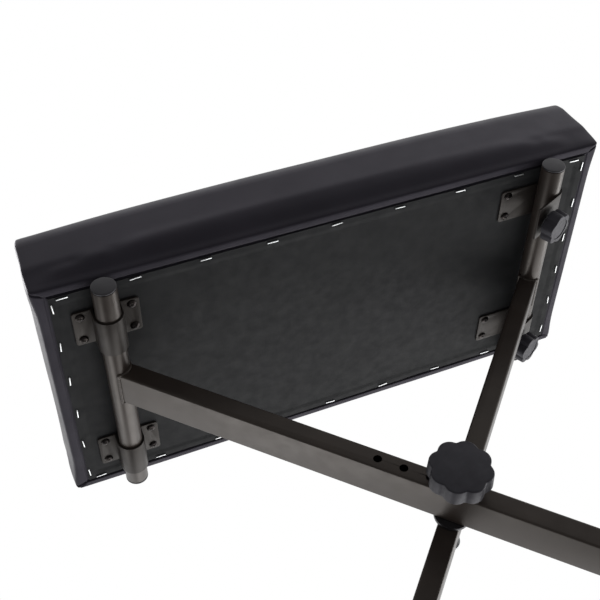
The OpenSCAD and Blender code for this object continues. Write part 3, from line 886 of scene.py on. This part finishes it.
def buildLeg(name, node, top, foot):
    low, high = boxes[node][0].y, boxes[node][1].y
    top = Vector((top.x, 0, top.z))
    foot = Vector((foot.x, 0, foot.z))
    along = (foot - top).normalized()
    length = (foot - top).length
    half = length / 2
    outer = block(name, (length, high - low, leg["deep"]))
    corners = [vertex.co.copy() for vertex in outer.data.vertices]

    def runsAlong(edge):
        a, b = edge.vertices
        return abs(corners[a].x - corners[b].x) > half

    selectParts(outer, "EDGE", outer.data.edges, runsAlong)
    bpy.ops.mesh.bevel(offset=leg["corner"], segments=5, affect="EDGES")
    bpy.ops.object.mode_set(mode="OBJECT")
    inner = copyOf(outer, "inner")
    shrinkY = 1 - 2 * leg["wall"] / (high - low)
    shrinkZ = 1 - 2 * leg["wall"] / leg["deep"]
    moveMesh(inner, Matrix.Diagonal((leg["core"], shrinkY, shrinkZ, 1)))
    carve(outer, inner)
    for x in (-half, half):
        radius = tubeRadius + leg["copeRoom"]
        carve(outer, bar("cope", radius, (x, -throughAll, 0), (x, throughAll, 0), 96))
    pivotX = (Vector((pivot.x, 0, pivot.z)) - top).length - half
    for i in range(leg["holes"]):
        x = pivotX - i * leg["pitch"]
        carve(outer, bar("hole", leg["hole"], (x, -throughAll, 0), (x, throughAll, 0), 40))
    # local X runs down the leg, Y stays across the bench
    turn = turnTo(along, acrossBench, along.cross(acrossBench))
    centre = (top + foot) / 2 + Vector((0, (low + high) / 2, 0))
    moveMesh(outer, Matrix.Translation(centre) @ turn)
    facesOut(outer)
    return smooth(outer, 30)


leftTube, rightTube = middle("upper_tube_left"), middle("upper_tube_right")
leftFoot, rightFoot = middle("foot_tube_left"), middle("foot_tube_right")
pivot = middle("centre_knob")

for node, body in (
    ("upper_tube_left", "leg_frame_a"),
    ("upper_tube_right", "leg_frame_b"),
    ("foot_tube_right", "leg_frame_a"),
    ("foot_tube_left", "leg_frame_b"),
):
    dress(buildTube(node + "_coated", node), frameCoat, body, "powder_coat", node)

for node, body, top, low in (
    ("leg_a", "leg_frame_a", leftTube, rightFoot),
    ("leg_b", "leg_frame_b", rightTube, leftFoot),
):
    dress(buildLeg(node + "_coated", node, top, low), frameCoat, body, "powder_coat", node)
print("tubes and legs ready")

weld = {
    "radius": 1.7 * mm,
    "pitch": 2.6 * mm,  # from one pass of the torch to the next
    "ripple": 0.22 * mm,
    "roughness": 0.25 * mm,
    "grain": 300,  # per metre, roughly
    "lean": 0.25,  # how far the bead leans onto the leg
    "steps": 200,
}


def weldPoint(share, lowY, highY):
    # a point on the joint of leg and tube, in the leg's own place, and the way out of the corner
    half, lean = leg["deep"] / 2, weld["lean"]
    reach = math.asin(half / tubeRadius)
    arc = 2 * reach * tubeRadius
    straight = highY - lowY
    x = math.cos(reach) * tubeRadius
    run = share * 2 * (arc + straight)
    if run < straight:
        return Vector((x, lowY + run, half)), Vector((lean, 0, 1))
    run -= straight
    if run < arc:
        a = reach - run / tubeRadius
        spot = (math.cos(a) * tubeRadius, highY, math.sin(a) * tubeRadius)
        return Vector(spot), Vector((lean, 1, 0))
    run -= arc
    if run < straight:
        return Vector((x, highY - run, -half)), Vector((lean, 0, -1))
    run -= straight
    a = -reach + run / tubeRadius
    spot = (math.cos(a) * tubeRadius, lowY, math.sin(a) * tubeRadius)
    return Vector(spot), Vector((lean, -1, 0))


def buildWeld(name, corner, other, lowY, highY):
    # a torus whose rings are laid along the joint, swelling with each pass of the torch
    count = weld["steps"]
    deselect()
    bpy.ops.mesh.primitive_torus_add(
        major_segments=count, minor_segments=10, major_radius=1, minor_radius=0.1
    )
    piece = named(name)
    length = 2 * (highY - lowY) + 4 * math.asin(leg["deep"] / 2 / tubeRadius) * tubeRadius
    along = Vector((other.x - corner.x, 0, other.z - corner.z)).normalized()
    turn = turnTo(along, acrossBench, along.cross(acrossBench))
    place = Matrix.Translation((corner.x, 0, corner.z)) @ turn
    for vertex in piece.data.vertices:
        angle = math.atan2(vertex.co.y, vertex.co.x) % math.tau
        share = round(angle / math.tau * count) % count / count
        spot, out = weldPoint(share, lowY, highY)
        ahead = weldPoint((share + 0.5 / count) % 1, lowY, highY)[0]
        behind = weldPoint((share - 0.5 / count) % 1, lowY, highY)[0]
        way = (ahead - behind).normalized()
        out = (out - way * out.dot(way)).normalized()
        side = way.cross(out)
        tilt = math.atan2(vertex.co.z, math.hypot(vertex.co.x, vertex.co.y) - 1)
        ripple = abs(math.sin(math.pi * share * length / weld["pitch"]))
        size = weld["radius"] + weld["ripple"] * (ripple - 0.5)
        size += weld["roughness"] * noise.noise(spot * weld["grain"])
        vertex.co = place @ (spot + out * math.cos(tilt) * size + side * math.sin(tilt) * size)
    facesOut(piece)
    return smooth(piece, 80)


for side, tubeEnd, footEnd in (("a", leftTube, rightFoot), ("b", rightTube, leftFoot)):
    nearFace, farFace = boxes["leg_" + side][0].y, boxes["leg_" + side][1].y
    topBead = buildWeld("weld_" + side + "_top", tubeEnd, footEnd, nearFace, farFace)
    footBead = buildWeld("weld_" + side + "_foot", footEnd, tubeEnd, nearFace, farFace)
    bead = joined("weld_beads_" + side + "_coated", topBead, footBead)
    dress(bead, frameCoat, "leg_frame_" + side, "powder_coat", "weld_beads_" + side)
print("welds ready")

cap = {
    "dome": 0.5 * mm,
    "domeSteps": 6,
    "edge": 0.7 * mm,
    "lip": 0.95 * mm,  # the flange stands off the tube by a groove this wide
    "lipDepth": 1.3 * mm,
    "lipSlope": 0.05 * mm,
    "plug": 14 * mm,
    "plugRoom": 0.05 * mm,
    "plugWall": 1.5 * mm,
}


def quarterRound(radius, steps, first=0):
    # sine and cosine of each step of a quarter turn, at this radius
    angles = [quarterTurn * k / steps for k in range(first, steps + 1)]
    return [(radius * math.sin(a), radius * math.cos(a)) for a in angles]


def buildCap(name, node):
    low, high = boxes[node]
    centre = middle(node)
    near = centre.y < 0
    flange = high.y - low.y - cap["plug"]
    edge, dome, lip = cap["edge"], cap["dome"], cap["lip"]
    flat = tubeRadius - edge
    plug = tubeRadius - tube["wall"] - cap["plugRoom"]
    neck = tubeRadius - cap["lipDepth"]
    hollow = plug - cap["plugWall"]
    steps = cap["domeSteps"]
    profile = [(flat * i / steps, flange - dome * (i / steps) ** 2) for i in range(steps + 1)]
    rim = flange - dome - edge
    profile += [(flat + out, rim + up) for out, up in quarterRound(edge, 5, 1)]
    profile += [(tubeRadius, lip), (neck, lip - cap["lipSlope"]), (neck, 0), (plug, 0)]
    profile += [(plug, -cap["plug"]), (hollow, -cap["plug"]), (hollow, 0), (0, 0)]
    piece = turned(name, profile, 96)
    turn = Matrix.Rotation(quarterTurn if near else -quarterTurn, 4, "X")
    seatY = low.y + flange if near else high.y - flange
    moveMesh(piece, Matrix.Translation((centre.x, seatY, centre.z)) @ turn)
    return smooth(piece, 40)


for side, body in (("left", "leg_frame_a"), ("right", "leg_frame_b")):
    for end in ("near", "far"):
        node = "end_cap_" + side + "_" + end
        dress(buildCap(node + "_moulded", node), capPlastic, body, "black_plastic", node)

foot = {
    "wall": 3 * mm,
    "room": 0.06 * mm,
    "endRoom": 0.05 * mm,  # between its end and the tube
    "edge": 1.2 * mm,
    "mouth": 0.4,  # share of the edge that is taken off round the open end
    "grooves": 3,
    "firstGroove": 9 * mm,  # from the closed end
    "groovePitch": 5 * mm,
    "grooveDepth": 0.6 * mm,
    "grooveSlope": 0.5 * mm,
    "grooveWidth": 1.8 * mm,
    "padWidth": 20 * mm,
    "padOverlap": 1.5 * mm,
    "padEdge": 0.9 * mm,
}


def buildFoot(name, node):
    low, high = boxes[node]
    centre = middle(node)
    near = centre.y < 0
    axisZ = rightFoot.z
    length = high.y - low.y
    outer, bore, edge = tubeRadius + foot["wall"], tubeRadius + foot["room"], foot["edge"]
    bottom = outer - foot["grooveDepth"]
    profile = [(0, length)]
    profile += [(outer - edge + out, length - edge + up) for out, up in quarterRound(edge, 4)]
    for i in range(foot["grooves"]):
        start = length - foot["firstGroove"] - i * foot["groovePitch"]
        end, slope = start - foot["grooveWidth"], foot["grooveSlope"]
        profile += [(outer, start), (bottom, start - slope), (bottom, end + slope), (outer, end)]
    inside = length - foot["wall"] - foot["endRoom"]
    profile += [(outer, edge), (outer - edge * foot["mouth"], 0)]
    profile += [(bore, 0), (bore, inside), (0, inside)]
    piece = turned(name, profile, 96)
    turn = Matrix.Rotation(quarterTurn if near else -quarterTurn, 4, "X")
    seatY = high.y if near else low.y
    moveMesh(piece, Matrix.Translation((centre.x, seatY, axisZ)) @ turn)
    # the flat that the foot stands on
    padHeight = axisZ - tubeRadius + foot["padOverlap"]
    pad = block("pad", (foot["padWidth"], padHeight, length - edge))
    softenEdges(pad, foot["padEdge"], 3, 40)
    place = Matrix.Translation((centre.x, (low.y + high.y) / 2, padHeight / 2))
    moveMesh(pad, place @ Matrix.Rotation(quarterTurn, 4, "X"))
    start = (centre.x, low.y - throughAll, axisZ)
    carve(pad, bar("tunnel", bore, start, (centre.x, high.y + throughAll, axisZ), 96))
    return smooth(joined(name, piece, pad), 40)


for side, body in (("right", "leg_frame_a"), ("left", "leg_frame_b")):
    for end in ("near", "far"):
        node = "rubber_foot_" + side + "_" + end
        dress(buildFoot(node + "_moulded", node), footRubber, body, "black_rubber", node)
print("caps and feet ready")

for node in bracketNodes:
    refined(node, 0.45 * mm, bracketCoat, "seat", "bracket_coat", 3, 35)
print("brackets ready")

screw = {
    "head": 4.5 * mm,  # radius
    "rise": 2.6 * mm,
    "flatness": 0.35,  # share of the rise that the dome doesn't fall at its rim
    "rim": 0.15 * mm,
    "rimHeight": 0.1 * mm,
    "shank": 1.9 * mm,
    "shankLength": 8 * mm,
    "point": 11 * mm,
    "cross": 2.8 * mm,  # half length of the recess
    "slot": 1.15 * mm,
    "depth": 1.4 * mm,
    "narrowing": (0.55, 0.7),  # the recess is this much shorter and narrower at its bottom
    "spread": 9 * mm,  # points closer than this in plan belong to one screw
}


def buildScrewHead(name):
    # pan head hanging from z = 0, with a cross recess
    radius, rise, flatness = screw["head"], screw["rise"], screw["flatness"]
    profile = [
        (out * radius, -rise * (flatness + (1 - flatness) * down))
        for out, down in quarterRound(1, 8)
    ]
    profile += [(radius, -screw["rimHeight"]), (radius - screw["rim"], 0), (screw["shank"], 0)]
    profile += [(screw["shank"], screw["shankLength"]), (0, screw["point"])]
    piece = turned(name, profile, 40)
    for turn in (0, quarterTurn):
        arm = block("arm", (2 * screw["cross"], screw["slot"], 2 * screw["depth"]), (0, 0, -rise))
        for vertex in arm.data.vertices:
            if vertex.co.z > -rise:
                vertex.co.x *= screw["narrowing"][0]
                vertex.co.y *= screw["narrowing"][1]
        carve(piece, moveMesh(arm, Matrix.Rotation(turn, 4, "Z")))
    return piece


def screwSpots(node):
    # the middle of each screw of a CAD node, from the points that lie together
    groups = []
    for vertex in nodes[node].data.vertices:
        spot = vertex.co.xy
        for group in groups:
            if (spot - group[0]).length < screw["spread"]:
                group.append(spot)
                break
        else:
            groups.append([spot])
    spots = []
    for group in groups:
        xs = [spot.x for spot in group]
        ys = [spot.y for spot in group]
        spots.append(((min(xs) + max(xs)) / 2, (min(ys) + max(ys)) / 2))
    return spots


screwModel = buildScrewHead("screwModel")
for node in ("saddle_screws_near", "saddle_screws_far", "hook_screws_near", "hook_screws_far"):
    seatZ = boxes[node][0].z + screw["rise"]
    copies = []
    for x, y in screwSpots(node):
        one = copyOf(screwModel, "screwCopy")
        turn = Matrix.Rotation(random.uniform(0, math.pi), 4, "Z")
        copies.append(moveMesh(one, Matrix.Translation((x, y, seatZ)) @ turn))
    row = smooth(joined(node + "_pan_head", *copies), 35)
    dress(row, screwSteel, "seat", "black_screw", node)
    print(node, len(copies))
bpy.data.objects.remove(screwModel)

bigKnob = {
    "lobes": 8,
    "ring": 18 * mm,  # from the middle to each lobe's centre
    "lobe": 11.5 * mm,  # radius
    "fillet": 0.9 * mm,  # softness of the valleys
    "turn": 3.5,  # degrees
    "head": 16.5 * mm,
    "draft": 0.975,
    "edge": 1.3 * mm,
    "dish": 0,  # its face is flat
    "collar": 13 * mm,
    "collarRise": 12.3 * mm,
    "sides": 288,
}
smallKnob = {
    "lobes": 6,
    "ring": 10 * mm,
    "lobe": 8 * mm,
    "fillet": 0.5 * mm,
    "turn": 40,
    "head": 13.5 * mm,
    "draft": 0.97,
    "edge": 1.1 * mm,
    "dish": 12 * mm,  # radius of the shallow dish in its face
    "collar": 8.5 * mm,
    "collarRise": 3 * mm,
    "sides": 216,
}
bothKnobs = {
    "bore": 4.2 * mm,
    "boreTop": 0.4 * mm,  # the bore reaches this far into the head
    "chamfer": 0.6 * mm,
    "flare": 0.8 * mm,  # the collar widens by this much into the head
    "flareTop": 0.2 * mm,
    "dishDepth": 0.8 * mm,
    "dishEdge": 0.25 * mm,
}


def lobeRadius(angle, knob):
    # distance from the middle to the rim of a ring of round lobes, with soft valleys
    step = math.tau / knob["lobes"]
    total = 0.0
    for i in range(knob["lobes"]):
        off = angle - math.radians(knob["turn"]) - i * step
        off = math.atan2(math.sin(off), math.cos(off))
        inside = knob["lobe"] ** 2 - (knob["ring"] * math.sin(off)) ** 2
        if math.cos(off) > 0 and inside > 0:
            reach = knob["ring"] * math.cos(off) + math.sqrt(inside)
            total += math.exp(reach / knob["fillet"])
    return knob["fillet"] * math.log(total)


def buildKnob(name, knob):
    # lobed outline, drawn up with a little draft, its rim rounded; the face is at the top
    rise = knob["collarRise"]
    deselect()
    bpy.ops.mesh.primitive_circle_add(vertices=knob["sides"], radius=1, fill_type="NGON")
    head = named("head")
    for vertex in head.data.vertices:
        angle = math.atan2(vertex.co.y, vertex.co.x)
        reach = lobeRadius(angle, knob)
        vertex.co = Vector((math.cos(angle) * reach, math.sin(angle) * reach, rise))
    bpy.ops.object.mode_set(mode="EDIT")
    bpy.ops.mesh.select_all(action="SELECT")
    bpy.ops.mesh.extrude_region_move(TRANSFORM_OT_translate={"value": (0, 0, knob["head"])})
    bpy.ops.transform.resize(value=(knob["draft"], knob["draft"], 1), center_override=(0, 0, 0))
    bpy.ops.object.mode_set(mode="OBJECT")
    facesOut(head)
    softenEdges(head, knob["edge"], 4, 60)
    if knob["dish"]:
        top = rise + knob["head"]
        bottom = (0, 0, top - bothKnobs["dishDepth"])
        carve(head, bar("dish", knob["dish"], bottom, (0, 0, top + 5 * mm), 96))
        softenEdges(head, bothKnobs["dishEdge"], 2, 60)
    # the collar, which flares a little into the head
    radius, bore = knob["collar"], bothKnobs["bore"]
    chamfer, flare = bothKnobs["chamfer"], bothKnobs["flare"]
    profile = [(bore, rise + bothKnobs["boreTop"]), (bore, 0), (radius - chamfer, 0)]
    profile += [(radius, chamfer), (radius, rise - flare)]
    profile += [(radius + flare, rise + bothKnobs["flareTop"])]
    collar = turned("collar", profile, 72)
    smooth(head, 30)
    smooth(collar, 30)
    return joined(name, collar, head)


centreKnob = buildKnob("centre_knob_moulded", bigKnob)
knobSeat = Matrix.Translation((pivot.x, boxes["centre_knob"][1].y, pivot.z))
moveMesh(centreKnob, knobSeat @ Matrix.Rotation(quarterTurn, 4, "X"))
dress(centreKnob, knobPlastic, "centre_knob", "black_plastic", "centre_knob")

for side in ("near", "far"):
    node = "clamp_knob_" + side
    joint = next(j for j in frame["joints"] if j["name"] == "clamp_" + side + "_turn")
    axis, spot = Vector(joint["axis"]), Vector(joint["pos_m"])
    # the same turn as the hook's lower plate: X runs up the plate, Z out of its face
    upPlate = Vector((-axis.z, 0, axis.x))
    turn = turnTo(upPlate, axis.cross(upPlate), axis)
    lowest = min((vertex.co - spot).dot(axis) for vertex in nodes[node].data.vertices)
    piece = buildKnob(node + "_moulded", smallKnob)
    moveMesh(piece, Matrix.Translation(spot + axis * lowest) @ turn)
    dress(piece, knobPlastic, node, "black_plastic", node)
print("knobs ready")

for node, body, material, slot, width in (
    ("clamp_nut_near", "seat", zincSteel, "zinc_steel", 0.3 * mm),
    ("clamp_nut_far", "seat", zincSteel, "zinc_steel", 0.3 * mm),
    ("clamp_washer_near", "clamp_washer_near", zincSteel, "zinc_steel", 0.2 * mm),
    ("clamp_washer_far", "clamp_washer_far", zincSteel, "zinc_steel", 0.2 * mm),
    ("clamp_stud_near", "clamp_knob_near", zincSteel, "zinc_steel", 0.4 * mm),
    ("clamp_stud_far", "clamp_knob_far", zincSteel, "zinc_steel", 0.4 * mm),
    ("pivot_bolt", "leg_frame_a", zincSteel, "zinc_steel", 0.4 * mm),
    ("bolt_washer", "leg_frame_a", zincSteel, "zinc_steel", 0.2 * mm),
    ("knob_washer", "knob_washer", zincSteel, "zinc_steel", 0.2 * mm),
    ("leg_spacer", "leg_frame_a", spacerNylon, "nylon", 0.5 * mm),
    ("knob_insert", "centre_knob", insertBrass, "brass", 0.3 * mm),
):
    refined(node, width, material, body, slot, 2, 50)
refined("seat_board", 4.2 * mm, plywood, "seat", "plywood", 3, 60)
print("small metal and board ready")

studio = {
    "floor": 6,  # width
    "fill": 0.4,  # even light from all round
    "target": (0, 0, 0.38),
    "dimSide": (-0.45, -0.65, -0.61),  # in front and below, where shiny surfaces mirror little
    "dimEdge": (-0.28, 0.1),  # the light falls off between these cosines
    "dimLight": 0.14,
    "lamps": (
        # name, place, size, watts; the low ones stand under the floor, which lets them through
        ("lowSoftbox", (0.7, 2.0, -1.25), 2.4, 27),
        ("leftSoftbox", (-2.3, 2.0, -0.8), 1.6, 19),
        ("rightSoftbox", (2.4, 1.0, -0.75), 1.4, 22),
        ("highSoftbox", (-1.2, 0.5, 2.4), 1.6, 40),
    ),
}


def floorMaterial():
    # pale matt studio floor that keeps the bench's shadow; it shows only from above
    material = bpy.data.materials.new("paleFloor")
    material.use_nodes = True
    tree = material.node_tree
    tree.nodes.clear()
    place = addNode(tree, "ShaderNodeTexCoord").outputs["Object"]
    cloud = addNode(tree, "ShaderNodeTexNoise", noisePattern(400 * mm), {"Vector": place})
    tone = addNode(tree, "ShaderNodeValToRGB", {}, {"Fac": cloud.outputs["Fac"]})
    paintRamp(tone, ("#ebebe9", "#f2f2f0"))
    matt = addNode(tree, "ShaderNodeBsdfDiffuse", {}, {"Color": tone.outputs["Color"]})
    clear = addNode(tree, "ShaderNodeBsdfTransparent")
    ray = addNode(tree, "ShaderNodeLightPath").outputs["Is Camera Ray"]
    back = addNode(tree, "ShaderNodeNewGeometry").outputs["Backfacing"]
    front = addNode(tree, "ShaderNodeMath", {"operation": "SUBTRACT", 0: 1.0}, {1: back})
    seen = addNode(
        tree, "ShaderNodeMath", {"operation": "MULTIPLY"}, {0: front.outputs[0], 1: ray}
    )
    mixed = {0: seen.outputs[0], 1: clear.outputs[0], 2: matt.outputs[0]}
    surface = addNode(tree, "ShaderNodeMixShader", {}, mixed).outputs[0]
    addNode(tree, "ShaderNodeOutputMaterial", {}, {"Surface": surface})
    return material


def buildWorld():
    world = bpy.data.worlds.new("studioWorld")
    bpy.context.scene.world = world
    world.use_nodes = True
    tree = world.node_tree
    tree.nodes.clear()
    ray = addNode(tree, "ShaderNodeLightPath").outputs
    place = addNode(tree, "ShaderNodeTexCoord").outputs["Generated"]
    # what shiny surfaces mirror: white all round but for the dim side
    toDim = {"operation": "DOT_PRODUCT", 1: studio["dimSide"]}
    facing = addNode(tree, "ShaderNodeVectorMath", toDim, {0: place}).outputs["Value"]
    start, end = studio["dimEdge"]
    falloff = {"From Min": start, "From Max": end, "To Min": 1.0, "To Max": studio["dimLight"]}
    mirror = addNode(tree, "ShaderNodeMapRange", falloff, {"Value": facing}).outputs["Result"]
    white = {"Color": (1, 1, 1, 1)}
    fill = addNode(tree, "ShaderNodeBackground", {**white, "Strength": studio["fill"]})
    backdrop = addNode(tree, "ShaderNodeBackground", {**white, "Strength": 1.0})
    mirrored = addNode(tree, "ShaderNodeBackground", white, {"Strength": mirror})
    lit = {0: ray["Is Glossy Ray"], 1: fill.outputs[0], 2: mirrored.outputs[0]}
    glossy = addNode(tree, "ShaderNodeMixShader", {}, lit)
    seen = addNode(
        tree,
        "ShaderNodeMath",
        {"operation": "MAXIMUM"},
        {0: ray["Is Camera Ray"], 1: ray["Is Transmission Ray"]},
    )
    shown = {0: seen.outputs[0], 1: glossy.outputs[0], 2: backdrop.outputs[0]}
    surface = addNode(tree, "ShaderNodeMixShader", {}, shown).outputs[0]
    addNode(tree, "ShaderNodeOutputWorld", {}, {"Surface": surface})


def buildLamps():
    target = Vector(studio["target"])
    for name, place, size, watts in studio["lamps"]:
        data = bpy.data.lights.new(name, "AREA")
        data.energy = watts
        data.size = size
        lamp = bpy.data.objects.new(name, data)
        lamp.location = place
        lamp.rotation_euler = (target - Vector(place)).to_track_quat("-Z", "Y").to_euler()
        bpy.context.scene.collection.objects.link(lamp)
        lamp.visible_camera = False


deselect()
bpy.ops.mesh.primitive_plane_add(size=studio["floor"], location=(0, 0, 0))
floor = named("studio_floor")
settle(floor)
floor.data.materials.append(floorMaterial())
buildWorld()
buildLamps()
print("studio ready")
